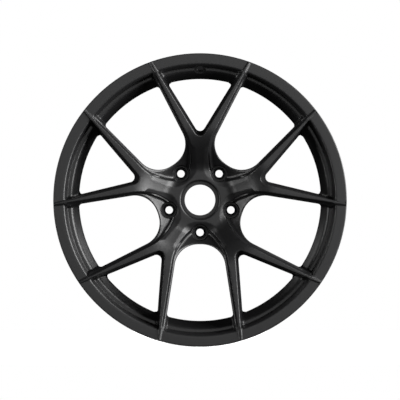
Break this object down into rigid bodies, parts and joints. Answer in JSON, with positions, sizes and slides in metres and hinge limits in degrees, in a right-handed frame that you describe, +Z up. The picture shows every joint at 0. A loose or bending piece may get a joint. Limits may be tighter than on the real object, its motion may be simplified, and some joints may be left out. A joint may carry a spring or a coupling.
{
  "type": "forged racing wheel rim",
  "caption": "One-piece forged racing wheel: slim Y spokes climb from a recessed star hub to the lip edge, with deep windows, a drop-centre barrel and steel bolt seats.",
  "frame": {"origin": "centre of the rim: on the wheel's axis, midway between the two flange faces", "axes": "+Y along the wheel's axis towards the car (inboard), -Y is the outboard face, +Z up through the valve hole, +X to the right as seen from outboard"},
  "size_m": [0.5478, 0.2654, 0.5478],
  "materials": {
    "satin_black_paint": "satin black paint over forged aluminium",
    "dark_steel": "black oxide steel, turned cone"
  },
  "bodies": {
    "root": {"forged_wheel": "satin_black_paint", "lug_seat_1": "dark_steel", "lug_seat_2": "dark_steel", "lug_seat_3": "dark_steel", "lug_seat_4": "dark_steel", "lug_seat_5": "dark_steel"}
  },
  "joints": []
}
